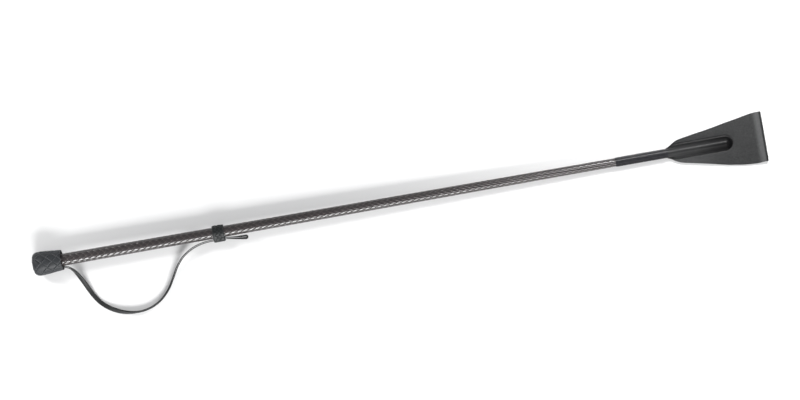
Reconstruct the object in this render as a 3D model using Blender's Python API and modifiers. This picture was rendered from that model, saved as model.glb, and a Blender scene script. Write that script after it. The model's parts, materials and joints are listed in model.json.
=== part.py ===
"""A riding crop lying on a flat surface, modelled in metres with +Z up.

The crop lies along X, with its knob at -X and its keeper, the leather tab at its tip, at +X. The surface
is z = 0 and the origin is under the middle of the crop. A station is a distance along the crop from the
knob's butt. The knob is thicker than the keeper, so the shaft's axis slopes down to +X.
"""

from math import asin, ceil, cos, hypot, pi, radians, sin, sqrt

import bmesh
import bpy
import numpy as np
from mathutils import Vector

MM = 0.001

# Driving dimensions
LENGTH = 650 * MM
AXIS_AT_BUTT = 10.6 * MM  # the axis's height at station 0
AXIS_AT_NECK = 4.28 * MM  # and at the keeper's neck
NECK = 563 * MM  # station where the thread binding ends and the keeper starts
GAP = 0.25 * MM  # kept between pieces that touch

KNOB_LENGTH = 25.8 * MM
KNOB_RADIUS = 10.5 * MM
KNOB_MOUTH_RADIUS = 8.9 * MM
KNOB_EDGE = 4.5 * MM  # radius of the butt's rounded edge
KNOB_WALL = 2.0 * MM
MOUTH_WALL = 1.15 * MM
MOUTH_DEPTH = 3.2 * MM  # the recess that the shaft and the lace come out of
CORE_SOCKET_DEPTH = 8.0 * MM  # how far the plait goes into the knob's core

ROD_BUTT = 5.3 * MM
ROD_TIP = 613.5 * MM
ROD_RADIUS_AT_KNOB = 3.9 * MM
ROD_RADIUS_AT_TIP = 2.2 * MM
ROD_CHAMFER = 0.5 * MM

PLAIT_RADIUS_AT_KNOB = 5.42 * MM
PLAIT_RADIUS_AT_BINDING = 3.76 * MM

BINDING_START = 516.4 * MM
BINDING_RADIUS = 4.25 * MM
BINDING_EDGE = 0.3 * MM
BINDING_GAP = 0.15 * MM  # between the plait and the binding

SLIDER_STATION = 163.8 * MM
SLIDER_WIDTH = 10.5 * MM
SLIDER_BORE = 5.3 * MM  # radius round the shaft, which is thicker towards the knob
SLIDER_WALL = 1.1 * MM
SLIDER_EDGE = 0.5 * MM
SLIDER_CROWN = 0.1 * MM  # the wall is this much thicker in the middle

LACE_WIDTH = 3.7 * MM
LACE_THICKNESS = 0.7 * MM
LACE_SPACING = 1.05 * MM  # between the middles of the two legs of the doubled lace
TAIL_END = 188 * MM  # station of the lace's folded end beyond the slider
TAIL_OPENING = 3.0 * MM  # between the middles of the legs at the folded end
TAIL_SPREAD = 17 * MM  # length beyond the slider over which the legs part

LEATHER = 1.25 * MM
KEEPER_LENGTH = LENGTH - NECK
CHANNEL_LENGTH = 58.5 * MM  # from the neck to the end of the stitched channel
CHANNEL_WIDTH = 13.5 * MM  # between the two rows of stitches
RIDGE_MARGIN = 0.65 * MM  # between the foot of the ridge over the rod and the stitches
FLAP_HINGE = 61.5 * MM  # from the neck, where the keeper bends beyond the rod's tip
FLAP_GAP = 1.2 * MM  # clearance between the stitched part and the flap
FOLD_RISE = 0.6 * MM  # the folded end is thicker than the rest
THREAD = 0.6 * MM
BACK_THREAD = 0.5 * MM
SEAM_STAND = 0.15 * MM  # clearance between the upper leather and the stitches on it
SEAM_GROOVE = 1.1 * MM  # width of the groove that the stitches lie in, in the lower leather
SEAM_RECESS = 0.3 * MM  # height of the middle of those stitches

# One side of the row of stitches up to where it runs straight: distance from the neck and from the middle
SEAM_START = [(3.6 * MM, 5.1 * MM), (5.5 * MM, 5.8 * MM), (8.0 * MM, 6.5 * MM), (12.0 * MM, CHANNEL_WIDTH / 2)]

# The keeper's half-width against the distance from its neck
KEEPER_OUTLINE = [
    (0.0 * MM, 4.35 * MM),
    (3.5 * MM, 6.0 * MM),
    (6.0 * MM, 8.0 * MM),
    (10.0 * MM, 9.9 * MM),
    (14.0 * MM, 10.9 * MM),
    (25.0 * MM, 13.0 * MM),
    (38.5 * MM, 15.3 * MM),
    (52.5 * MM, 18.2 * MM),
    (67.0 * MM, 20.5 * MM),
    (78.5 * MM, 22.0 * MM),
    (85.2 * MM, 22.25 * MM),
    (86.4 * MM, 21.9 * MM),
    (87.0 * MM, 21.1 * MM),
]

# The wrist loop's route from the knob's mouth to the slider: station, distance from the shaft's axis
# towards -Y, clearance under the lace, and the angle between the lace's face and the surface.
LACE_ROUTE = [
    (23.2 * MM, 6.42 * MM, 8.45 * MM, 90),
    (26.5 * MM, 6.5 * MM, 8.4 * MM, 90),
    (30.2 * MM, 7.9 * MM, 7.6 * MM, 82),
    (33.6 * MM, 11.0 * MM, 6.3 * MM, 64),
    (36.4 * MM, 15.6 * MM, 4.7 * MM, 42),
    (39.2 * MM, 21.4 * MM, 3.0 * MM, 22),
    (42.4 * MM, 28.8 * MM, 1.3 * MM, 10),
    (46.0 * MM, 36.0 * MM, 0.4 * MM, 5),
    (50.2 * MM, 42.2 * MM, 0.05 * MM, 5),
    (55.2 * MM, 47.0 * MM, 0.05 * MM, 10),
    (60.6 * MM, 50.6 * MM, 0.05 * MM, 22),
    (66.8 * MM, 53.6 * MM, 0.05 * MM, 42),
    (73.6 * MM, 55.6 * MM, 0.05 * MM, 62),
    (80.8 * MM, 56.5 * MM, 0.05 * MM, 80),
    (88.4 * MM, 56.0 * MM, 0.05 * MM, 90),
    (96.6 * MM, 53.6 * MM, 0.05 * MM, 90),
    (104.4 * MM, 48.8 * MM, 0.05 * MM, 90),
    (111.6 * MM, 41.4 * MM, 0.1 * MM, 90),
    (117.6 * MM, 31.8 * MM, 0.6 * MM, 90),
    (123.2 * MM, 22.6 * MM, 1.9 * MM, 90),
    (130.4 * MM, 14.9 * MM, 3.8 * MM, 90),
    (139.6 * MM, 9.6 * MM, 5.6 * MM, 90),
    (149.4 * MM, 6.9 * MM, 6.7 * MM, 90),
    (158.2 * MM, 6.2 * MM, 6.97 * MM, 90),
]

TILT = asin((AXIS_AT_BUTT - AXIS_AT_NECK) / NECK)

# Colours, as red, green, blue
BLACK_LEATHER = (0.030, 0.031, 0.033)
SLATE_LEATHER = (0.042, 0.045, 0.048)
BROWN_LEATHER = (0.022, 0.014, 0.013)
WAXED_THREAD = (0.012, 0.012, 0.015)
GLASS_FIBRE = (0.030, 0.030, 0.032)
BEECH = (0.48, 0.31, 0.17)


def clear_scene():
    for obj in list(bpy.data.objects):
        bpy.data.objects.remove(obj, do_unlink=True)


def collection(name):
    made = bpy.data.collections.new(name)
    bpy.context.scene.collection.children.link(made)
    return made


def material(name, colour, roughness):
    made = bpy.data.materials.new(name)
    made.use_nodes = True
    shader = made.node_tree.nodes["Principled BSDF"]
    shader.inputs["Base Color"].default_value = (*colour, 1.0)
    shader.inputs["Roughness"].default_value = roughness
    shader.inputs["Metallic"].default_value = 0.0
    return made


def add(name, data, colour, roughness, parent=None):
    """One named sub-part in the crop's collection, with its own material."""
    obj = bpy.data.objects.new(name, data)
    PARTS.objects.link(obj)
    obj.parent = parent
    data.materials.append(material(name, colour, roughness))
    return obj


def axis_height(station):
    return AXIS_AT_BUTT - station * sin(TILT)


def across(station, distance, height):
    """The point at a station, a distance from the axis towards -Y, and a height over the surface."""
    return Vector((station - LENGTH / 2, -distance, height))


def arc(station, radius, size, start, end, steps=4):
    """Points of a turned profile's round edge: its centre's place, its size and its angles in degrees."""
    angles = (radians(start + (end - start) * i / steps) for i in range(steps + 1))
    return [(station + size * sin(a), radius + size * cos(a)) for a in angles]


def rod_radius(station):
    share = (station - KNOB_LENGTH) / (ROD_TIP - KNOB_LENGTH)
    return ROD_RADIUS_AT_KNOB + share * (ROD_RADIUS_AT_TIP - ROD_RADIUS_AT_KNOB)


def plait_radius(station):
    share = (station - KNOB_LENGTH) / (BINDING_START - KNOB_LENGTH)
    return PLAIT_RADIUS_AT_KNOB + share * (PLAIT_RADIUS_AT_BINDING - PLAIT_RADIUS_AT_KNOB)


def turned(name, profile, closed, sides, colour, roughness):
    """A turned piece on the shaft's axis. The profile holds (station, radius), and its outer side runs
    from high stations to low ones."""
    mesh = bpy.data.meshes.new(name)
    points = [(radius, 0.0, station) for station, radius in profile]
    edges = [(i, i + 1) for i in range(len(points) - 1)]
    if closed:
        edges.append((len(points) - 1, 0))
    mesh.from_pydata(points, edges, [])
    obj = add(name, mesh, colour, roughness, SHAFT_AXIS)
    screw = obj.modifiers.new("turn", "SCREW")
    screw.axis = "Z"
    screw.angle = 2 * pi
    screw.screw_offset = 0.0
    screw.steps = sides
    screw.render_steps = sides
    screw.use_merge_vertices = True
    screw.merge_threshold = 0.00001
    screw.use_smooth_shade = True
    return obj


def curve_data(name, points, closed=False):
    data = bpy.data.curves.new(name, "CURVE")
    data.dimensions = "3D"
    spline = data.splines.new("POLY")
    spline.points.add(len(points) - 1)
    for point, place in zip(spline.points, points):
        point.co = (*place, 1.0)
    spline.use_cyclic_u = closed
    return data


def catmull_rom(points, step):
    """Rows on a smooth curve through rows of numbers, the first three of which are a place."""
    rows = [np.array(p, float) for p in points]
    rows = [2 * rows[0] - rows[1], *rows, 2 * rows[-1] - rows[-2]]
    out = []
    for a, b, c, d in zip(rows, rows[1:], rows[2:], rows[3:]):
        parts = ceil(np.linalg.norm(c[:3] - b[:3]) / step)
        for i in range(parts):
            t = i / parts
            out.append(
                0.5 * (2 * b + (c - a) * t + (2 * a - 5 * b + 4 * c - d) * t**2)
                + 0.5 * (3 * b - a - 3 * c + d) * t**3
            )
    out.append(rows[-2])
    return out


# The rod, the plait and the knob


def core_rod():
    tip = ROD_RADIUS_AT_TIP
    butt = rod_radius(ROD_BUTT)
    profile = arc(ROD_TIP - tip, 0.0, tip, 90, 0, 6)
    profile += [(ROD_BUTT + ROD_CHAMFER, butt), (ROD_BUTT, butt - ROD_CHAMFER), (ROD_BUTT, 0.0)]
    profile[0] = (ROD_TIP, 0.0)
    turned("core_rod", profile, False, 24, GLASS_FIBRE, 0.45)


def shaft_plait():
    start = KNOB_LENGTH - MOUTH_DEPTH - CORE_SOCKET_DEPTH + GAP
    end = NECK - GAP
    inner = [(s, rod_radius(s) + GAP) for s in (start, end)]
    profile = [(end, plait_radius(end)), (start, plait_radius(start)), *inner]
    turned("shaft_plait", profile, True, 32, BROWN_LEATHER, 0.3)


def knob_core():
    inset = KNOB_WALL + GAP
    mouth = KNOB_LENGTH - MOUTH_DEPTH - GAP
    socket = mouth - CORE_SOCKET_DEPTH
    edge = KNOB_EDGE - inset
    top = knob_radius(mouth) - inset
    profile = [
        (ROD_BUTT - GAP, 0.0),
        (ROD_BUTT - GAP, rod_radius(ROD_BUTT) + GAP),
        (socket, rod_radius(ROD_BUTT) + GAP),
        (socket, plait_radius(socket) + GAP),
        (mouth, plait_radius(mouth) + GAP),
        (mouth, top),
        *arc(KNOB_EDGE, KNOB_RADIUS - KNOB_EDGE, edge, 0, -90),
        (inset, 0.0),
    ]
    turned("knob_core", profile, False, 40, BEECH, 0.6)


def knob_radius(station):
    """The knob's outer radius, beyond the rounded edge of its butt."""
    share = max(0.0, (station - 2 * KNOB_EDGE) / (KNOB_LENGTH - 2 * KNOB_EDGE))
    return KNOB_RADIUS + share * (KNOB_MOUTH_RADIUS - KNOB_RADIUS)


def knob_cover():
    inside = KNOB_MOUTH_RADIUS - MOUTH_WALL
    recess = KNOB_LENGTH - MOUTH_DEPTH
    lip = MOUTH_WALL / 2
    profile = [
        (KNOB_WALL, 0.0),
        *arc(KNOB_EDGE, KNOB_RADIUS - KNOB_EDGE, KNOB_EDGE - KNOB_WALL, -90, 0),
        (2 * KNOB_EDGE, KNOB_RADIUS - KNOB_WALL),
        (recess, knob_radius(recess) - KNOB_WALL),
        (recess + 0.4 * MM, inside),
        *arc(KNOB_LENGTH - lip, inside + lip, lip, 180, 0, 6),
        (2 * KNOB_EDGE, KNOB_RADIUS),
        *arc(KNOB_EDGE, KNOB_RADIUS - KNOB_EDGE, KNOB_EDGE, 0, -90, 6),
        (0.0, 0.0),
    ]
    turned("knob_cover", profile, False, 40, SLATE_LEATHER, 0.6)


# The wrist loop and its slider


def lace_height(lift, angle):
    """The height of the doubled lace's middle, with its face at an angle to the surface."""
    stack = (LACE_SPACING + LACE_THICKNESS) / 2
    return lift + stack * cos(angle) + LACE_WIDTH / 2 * sin(angle)


def lace_section():
    """The lace's cross-section, a guide that the curves are beveled with."""
    wide = LACE_WIDTH / 2
    thick = LACE_THICKNESS / 2
    corners = [(-wide, -thick, 0), (-wide, thick, 0), (wide, thick, 0), (wide, -thick, 0)]
    guide = bpy.data.objects.new("lace_section", curve_data("lace_section", corners, True))
    GUIDES.objects.link(guide)
    guide.hide_render = True
    guide.display_type = "WIRE"
    return guide


def lace_strip(name, points, angles, section):
    """A stretch of flat lace: its middle line, and the angle between its face and the surface."""
    data = curve_data(name, points)
    data.twist_mode = "Z_UP"
    data.bevel_mode = "OBJECT"
    data.bevel_object = section
    data.use_fill_caps = True
    for point, angle in zip(data.splines[0].points, angles):
        point.tilt = angle
    return add(name, data, BLACK_LEATHER, 0.55)


def wrist_lace_legs(section):
    """The two legs of the doubled lace, face to face from the knob's mouth to the slider."""
    rows = []
    for station, distance, lift, angle in LACE_ROUTE:
        place = across(station, distance, lace_height(lift, radians(angle)))
        rows.append((*place, radians(angle)))
    rows = catmull_rom(rows, 3.5 * MM)
    places = [Vector(row[:3]) for row in rows]
    angles = [row[3] for row in rows]
    count = len(places)
    for name, side in (("wrist_lace_inner", -1), ("wrist_lace_outer", 1)):
        points = []
        for i, (place, angle) in enumerate(zip(places, angles)):
            run = (places[min(i + 1, count - 1)] - places[max(i - 1, 0)]).normalized()
            level = run.cross(Vector((0, 0, 1))).normalized()
            up = level.cross(run)
            normal = up * cos(angle) + level * sin(angle)
            points.append(place + normal * side * LACE_SPACING / 2)
        lace_strip(name, points, angles, section)


def wrist_lace_tail(section):
    """The lace's folded end, which runs through the slider and stands a little off the shaft."""
    start = SLIDER_STATION - SLIDER_WIDTH / 2
    near = LACE_ROUTE[-1][1]
    centre_line = [
        (start, near),
        (start + SLIDER_WIDTH + 1.5 * MM, near + 0.1 * MM),
        (TAIL_END - 10 * MM, near + 1.1 * MM),
        (TAIL_END - TAIL_OPENING / 2, near + 1.9 * MM),
    ]
    rows = catmull_rom([(s, d, 0.0) for s, d in centre_line], 3 * MM)
    opened = TAIL_OPENING / 2
    reach = (start + SLIDER_WIDTH, start + SLIDER_WIDTH + TAIL_SPREAD)
    apart = [float(np.interp(row[0], reach, (LACE_SPACING / 2, opened))) for row in rows]
    inner = [(row[0], row[1] - wide) for row, wide in zip(rows, apart)]
    outer = [(row[0], row[1] + wide) for row, wide in zip(rows, apart)]
    end_station, end_distance = rows[-1][:2]
    turn = [
        (end_station + opened * sin(a), end_distance - opened * cos(a))
        for a in (radians(x) for x in range(30, 180, 30))
    ]
    loop = inner + turn + outer[::-1]
    points = [across(s, d, axis_height(s)) for s, d in loop]
    lace_strip("wrist_lace_tail", points, [radians(90)] * len(points), section)


def slider_ring():
    """A ring round the shaft and the lace: a convex outline, lofted through a rounded wall."""
    lace_side = LACE_ROUTE[-1][1] + (LACE_SPACING + LACE_THICKNESS) / 2 + GAP
    corners = [(lace_side, sign * (LACE_WIDTH / 2 + GAP)) for sign in (-1, 1)]
    half = SLIDER_WIDTH / 2
    edge = SLIDER_EDGE
    wall = SLIDER_WALL
    section = [(-half, edge), (-half + edge, 0.0), (half - edge, 0.0), (half, edge)]
    section += [(half - edge, wall), (0.0, wall + SLIDER_CROWN), (-half + edge, wall)]
    sides = 48
    bm = bmesh.new()
    rings = []
    for i in range(sides):
        turn = 2 * pi * (i + 0.5) / sides
        way = (cos(turn), sin(turn))
        reach = [(SLIDER_BORE * way[0], SLIDER_BORE * way[1]), *corners]
        side, height = max(reach, key=lambda p: p[0] * way[0] + p[1] * way[1])
        ring = []
        for shift, out in section:
            # on the shaft's axis, local +X points down and local +Y away from the lace
            place = (-(height + out * way[1]), -(side + out * way[0]), SLIDER_STATION + shift)
            ring.append(bm.verts.new(place))
        rings.append(ring)
    for ring, after in zip(rings, rings[1:] + rings[:1]):
        for j in range(len(section)):
            k = (j + 1) % len(section)
            bm.faces.new((ring[j], ring[k], after[k], after[j]))
    bmesh.ops.recalc_face_normals(bm, faces=bm.faces)
    mesh = bpy.data.meshes.new("slider_ring")
    bm.to_mesh(mesh)
    bm.free()
    add("slider_ring", mesh, BLACK_LEATHER, 0.6, SHAFT_AXIS)


# The keeper


def keeper_binding():
    start = BINDING_START
    end = NECK - GAP
    edge = BINDING_EDGE
    inner = [(s, plait_radius(s) + BINDING_GAP) for s in (start, end)]
    profile = [
        (end, BINDING_RADIUS - edge),
        (end - edge, BINDING_RADIUS),
        (start + edge, BINDING_RADIUS),
        (start, BINDING_RADIUS - edge / 2),
        *inner,
    ]
    turned("keeper_binding", profile, True, 32, WAXED_THREAD, 0.35)


def keeper_half_width(run):
    runs, widths = zip(*KEEPER_OUTLINE)
    return float(np.interp(run, runs, widths))


def ridge(run, side):
    """How far the upper leather's underside rises above the flat, over the rod, at a distance from the
    neck and from the middle: a smooth swell from stitches to stitches that clears the rod."""
    flat = LEATHER + GAP
    radius = rod_radius(NECK + run) + GAP
    height = axis_height(NECK + run) - flat
    side = hypot(side, max(0.0, run - (CHANNEL_LENGTH - CHANNEL_WIDTH / 2)))
    foot = float(np.interp(run, *zip(*SEAM_START))) - RIDGE_MARGIN
    share = min(1.0, side / foot)
    swell = (height + radius) * cos(pi / 2 * share) ** (1.5 + share**2)
    arch = height + sqrt(radius**2 - side**2) if side < radius else 0.0
    return max(swell, arch)


def panel(name, runs, shares, place, side):
    """A sheet of leather: a grid over distances from the neck and shares of the half-width, moved to its
    place and given its thickness."""
    bm = bmesh.new()
    bmesh.ops.create_grid(bm, x_segments=len(runs) - 1, y_segments=len(shares) - 1, size=0.5)
    for vert in bm.verts:
        row = round((vert.co.x + 0.5) * (len(runs) - 1))
        column = round((vert.co.y + 0.5) * (len(shares) - 1))
        vert.co = place(runs[row], shares[column])
    bmesh.ops.reverse_faces(bm, faces=bm.faces)  # the grid's Y runs the other way than the distances
    mesh = bpy.data.meshes.new(name)
    bm.to_mesh(mesh)
    bm.free()
    obj = add(name, mesh, BLACK_LEATHER, 0.6)
    thick = obj.modifiers.new("leather", "SOLIDIFY")
    thick.thickness = LEATHER
    thick.offset = side
    thick.use_even_offset = True
    return obj


def keeper_runs():
    """Distances from the neck: close together at the neck and past the rod's tip."""
    end = FLAP_HINGE - FLAP_GAP / 2
    tip = ROD_TIP - NECK
    neck = [GAP, 1.8 * MM, 3.5 * MM, 6 * MM, 8 * MM, 10 * MM, 14 * MM]
    middle = [25 * MM, 38.5 * MM, tip - 4 * MM]
    return neck + middle + [tip + (end - tip) * i / 6 for i in range(7)]


def keeper_back():
    def place(run, share):
        return across(NECK + run, share * keeper_half_width(run), 0.0)

    obj = panel("keeper_back", keeper_runs(), [-1.0, -0.5, 0.0, 0.5, 1.0], place, 1.0)
    groove = thread_line("seam_groove", SEAM_RECESS, SEAM_GROOVE)
    bpy.context.view_layer.update()
    shown = groove.evaluated_get(bpy.context.evaluated_depsgraph_get())
    mesh = bpy.data.meshes.new_from_object(shown)
    bm = bmesh.new()
    bm.from_mesh(mesh)
    bmesh.ops.remove_doubles(bm, verts=bm.verts, dist=0.00001)
    bmesh.ops.recalc_face_normals(bm, faces=bm.faces)
    bm.to_mesh(mesh)
    bm.free()
    cutter = bpy.data.objects.new("seam_groove_cutter", mesh)
    GUIDES.objects.link(cutter)
    cutter.hide_render = True
    cutter.display_type = "WIRE"
    bpy.data.objects.remove(groove)
    cut = obj.modifiers.new("seam groove", "BOOLEAN")
    cut.operation = "DIFFERENCE"
    cut.solver = "EXACT"
    cut.object = cutter


def keeper_front():
    """The upper leather, moulded over the rod."""
    flat = LEATHER + GAP
    steps = [s * MM for s in (0.5, 1.2, 1.8, 2.3, 2.8, 3.4, 4.1, 4.9, 5.6, 6.2)]  # from the middle, across the ridge

    def place(run, side):
        half = keeper_half_width(run)
        side = max(-half, min(half, side))
        return across(NECK + run, side, flat + ridge(run, side))

    columns = [-LENGTH, *(-s for s in reversed(steps)), 0.0, *steps, LENGTH]
    panel("keeper_front", keeper_runs(), columns, place, 1.0)


def keeper_flap():
    """The free end: both layers beyond the stitching, and the fold that joins them."""
    low = LEATHER / 2
    high = LEATHER * 1.5 + GAP
    start = FLAP_HINGE + FLAP_GAP / 2
    turn = (high + FOLD_RISE - low) / 2
    end = KEEPER_LENGTH - LEATHER / 2 - turn
    line = [(start, low), ((start + end) / 2, low), (end, low)]
    line += [
        (end + turn * sin(a), low + turn - turn * cos(a)) for a in (radians(x) for x in range(30, 180, 30))
    ]
    line += [(end, high + FOLD_RISE), (end - 3 * MM, high + FOLD_RISE * 0.8)]
    line += [(end - 7 * MM, high + FOLD_RISE * 0.2), (end - 10 * MM, high), (start, high)]
    numbers = list(range(len(line)))

    def place(number, share):
        run, height = line[number]
        return across(NECK + run, share * keeper_half_width(min(run + LEATHER / 2, KEEPER_LENGTH)), height)

    panel("keeper_flap", numbers, [-1.0, -0.95, 0.0, 0.95, 1.0], place, 0.0)


def thread_line(name, height, thickness):
    """A tube along the row of stitches: out from the neck, along the channel and round its end."""
    wide = CHANNEL_WIDTH / 2
    straight = CHANNEL_LENGTH - wide
    side = [*SEAM_START, (straight, wide)]
    turn = [(straight + wide * sin(a), wide * cos(a)) for a in (radians(x) for x in range(15, 180, 15))]
    line = side + turn + [(run, -distance) for run, distance in reversed(side)]
    data = curve_data(name, [across(NECK + run, distance, height) for run, distance in line])
    data.bevel_depth = thickness / 2
    data.bevel_resolution = 2
    data.use_fill_caps = True
    return add(name, data, WAXED_THREAD, 0.5)


def build():
    core_rod()
    shaft_plait()
    knob_core()
    knob_cover()
    section = lace_section()
    wrist_lace_legs(section)
    wrist_lace_tail(section)
    slider_ring()
    keeper_binding()
    keeper_back()
    keeper_front()
    keeper_flap()
    thread_line("keeper_seam_front", 2 * LEATHER + GAP + SEAM_STAND + THREAD / 2, THREAD)
    thread_line("keeper_seam_back", SEAM_RECESS, BACK_THREAD)


clear_scene()
PARTS = collection("riding_crop")
GUIDES = collection("guides")
SHAFT_AXIS = bpy.data.objects.new("shaft_axis", None)
PARTS.objects.link(SHAFT_AXIS)
SHAFT_AXIS.location = across(0.0, 0.0, AXIS_AT_BUTT)
SHAFT_AXIS.rotation_euler = (0.0, pi / 2 + TILT, 0.0)
build()
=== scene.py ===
import json
from math import asin, ceil, cos, pi, radians, sin, sqrt, tan

import bmesh
import bpy
import numpy as np
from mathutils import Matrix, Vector


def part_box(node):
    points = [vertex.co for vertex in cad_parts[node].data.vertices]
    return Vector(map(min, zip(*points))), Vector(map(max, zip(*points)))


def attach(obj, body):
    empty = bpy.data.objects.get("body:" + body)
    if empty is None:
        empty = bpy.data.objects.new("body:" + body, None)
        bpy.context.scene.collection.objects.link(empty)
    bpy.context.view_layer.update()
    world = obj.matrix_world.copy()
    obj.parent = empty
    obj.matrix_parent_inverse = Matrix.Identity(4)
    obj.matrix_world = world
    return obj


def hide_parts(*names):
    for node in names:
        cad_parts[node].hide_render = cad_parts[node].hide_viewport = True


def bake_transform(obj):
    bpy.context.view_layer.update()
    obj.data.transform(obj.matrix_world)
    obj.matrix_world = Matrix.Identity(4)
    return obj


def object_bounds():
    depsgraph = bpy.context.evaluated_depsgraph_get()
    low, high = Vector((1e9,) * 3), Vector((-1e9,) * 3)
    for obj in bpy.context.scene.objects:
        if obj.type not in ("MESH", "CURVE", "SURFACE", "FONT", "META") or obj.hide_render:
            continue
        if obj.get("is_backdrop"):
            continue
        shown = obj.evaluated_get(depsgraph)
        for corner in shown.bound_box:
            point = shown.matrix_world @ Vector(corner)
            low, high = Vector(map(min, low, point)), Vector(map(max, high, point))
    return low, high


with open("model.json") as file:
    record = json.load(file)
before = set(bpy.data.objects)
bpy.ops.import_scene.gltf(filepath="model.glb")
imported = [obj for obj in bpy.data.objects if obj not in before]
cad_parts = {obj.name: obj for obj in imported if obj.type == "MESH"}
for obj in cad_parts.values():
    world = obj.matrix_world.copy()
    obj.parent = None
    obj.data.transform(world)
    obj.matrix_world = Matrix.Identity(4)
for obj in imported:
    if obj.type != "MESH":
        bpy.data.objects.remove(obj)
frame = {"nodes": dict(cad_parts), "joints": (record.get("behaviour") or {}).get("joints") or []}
CAD_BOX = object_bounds()

MM = 0.001

# A station is a distance along the shaft's axis from the knob's butt, a run is a distance along the keeper
# from its neck, and an angle round the shaft is counted from the top towards the lace. The keeper is thin
# and lies flat, so its runs are level.

CAMERA_TURN = 10.0  # degrees by which the crop rises to the right
CAMERA_HEIGHT = 1.66
CAMERA_SHIFT = 0.018  # towards +Y, which centres the crop in the picture
LENS = 85.0
FLOOR_SIZE = 8.0

SHAFT_STRANDS = 6  # in each direction
SHAFT_PITCH = 32.4 * MM  # along the shaft for one turn of a strand
SHAFT_STRIP = 0.46 * MM  # thickness
SHAFT_WAVE = 0.22 * MM  # how far a strand rises and dips
SHAFT_FILL = 0.975  # share of its place that a strand fills
SHAFT_HIDDEN = 4.0 * MM  # length of the plait inside the binding
WEAVE_STEEP = 3.4  # how quickly a strand goes from over to under

KNOB_STRIPS = 7  # in each direction
KNOB_STRIP = 0.85 * MM
KNOB_WAVE = 0.38 * MM
KNOB_FILL = 0.96
KNOB_ANGLE = 44.0  # degrees between a strip and the knob's length
KNOB_HOLE = 1.5 * MM  # radius at the butt where the strips start, under the button
KNOB_STEPS = (-0.46, -0.37, -0.21, -0.1, 0.1, 0.21, 0.37, 0.46)  # more places along a strip, for the curves
KNOB_LIP = 0.35  # share of the strips' thickness that is left where they turn into the mouth
KNOB_LIP_LENGTH = 2.6 * MM  # length of that part
KNOB_LIP_EASE = 5.0 * MM  # length over which they thicken from there
KNOB_FULL = 7.0 * MM  # radius from which they are full, and below which they thin to the butt's middle
BUTTON_RADIUS = KNOB_HOLE + 0.9 * MM
BUTTON_BASE = 0.55 * MM  # station of the button's rim
BUTTON_DOME = 0.5 * MM

RING_LEADS = 5  # times that the strip runs round
RING_BIGHTS = 9  # turns back at each edge
RING_STRIP = 0.62 * MM  # thickness
RING_STRIP_WIDTH = 2.78 * MM
RING_WAVE = 0.3 * MM
RING_LINING = 0.12 * MM  # thickness
RING_TURN = 0.86  # how sharply the strip turns back at the ring's edges, less than 1
RING_ROLL = 1.1 * MM  # width of the ring's edges, which are rolled in
RING_DROP = 0.45 * MM  # how far they are rolled in
RING_STEPS = 1600

LACE_WIDTH = 3.7 * MM
LACE_THICKNESS = 0.7 * MM
LACE_SPACING = 1.05 * MM
TAIL_OPENING = 2.2 * MM  # between the middles of the legs at the folded end
TAIL_LEAN = 24.0  # degrees by which the legs lean outwards there
LACE_HIDDEN = 2.2 * MM  # how far the legs reach into the slider

THREAD_PITCH = 0.46 * MM
THREAD_RADIUS = 0.27 * MM
THREAD_RISE = 0.13 * MM  # the wound thread is pressed flat
THREAD_SIDES = 30  # steps of a turn round the shaft
THREAD_CORNERS = 8  # of its cross-section
THREAD_MARGIN = 0.1 * MM  # room for the turns that stand out
BINDING_PAST = 0.3 * MM  # how far the last turn reaches over the keeper's neck
BINDING_EASE = 1.6 * MM  # length over which the first turns rise
BINDING_DIP = 0.3 * MM  # how much lower they start

KEEPER_LENGTH = 87.0 * MM
KEEPER_CORNER = 1.2 * MM
KEEPER_START = -0.12 * MM  # run where the leather starts, inside the binding's last turn
KEEPER_COLUMNS = 141
LEATHER = 1.25 * MM  # thickness
LEATHER_EDGE = 0.3 * MM  # how far its edges are rounded
LEATHER_SWELL = 0.12 * MM  # how far the upper layer waves between the rod's tip and the fold
KEEPER_BELLY = 0.9 * MM  # how far both edges lie towards -Y between the neck and the free end
LAYER_GAP = 0.25 * MM
LAYER_MISFIT = 0.55 * MM  # how far the lower layer shows past the upper one, along one edge
RIDGE_MARGIN = 0.65 * MM  # between the foot of the ridge over the rod and the stitches
RIDGE_EASE = 0.35 * MM
FOLD_RISE = 0.55 * MM  # how much higher the upper layer lies at the fold
FOLD_EASE = 8.0 * MM  # length over which it rises
SEAM_PITCH = 2.2 * MM
SEAM_THREAD = 0.18 * MM
SEAM_GROOVE = 0.22 * MM  # depth
GROOVE_WIDTH = 0.42 * MM
STITCH_SLANT = 0.12
STITCH_RISE = 0.7 * MM
STITCH_TOP = 2 * LEATHER + LAYER_GAP - SEAM_GROOVE + 0.2 * MM  # height of the holes, from which it rises
STITCH_BOTTOM = 0.36 * MM

# A stitch's middle line: shares of the pitch from its middle, and shares of the rise.
STITCH_LINE = [(-0.38, -0.5), (-0.35, -0.1), (-0.22, 0.16), (0.0, 0.22)]
STITCH_LINE += [(-share, lift) for share, lift in reversed(STITCH_LINE[:-1])]

# The CAD model's
CAD_THREAD = 0.3 * MM  # radius of the seam's thread
ROD_LEAST = 2.15 * MM  # radius that the rod has everywhere but at its rounded tip

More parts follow.
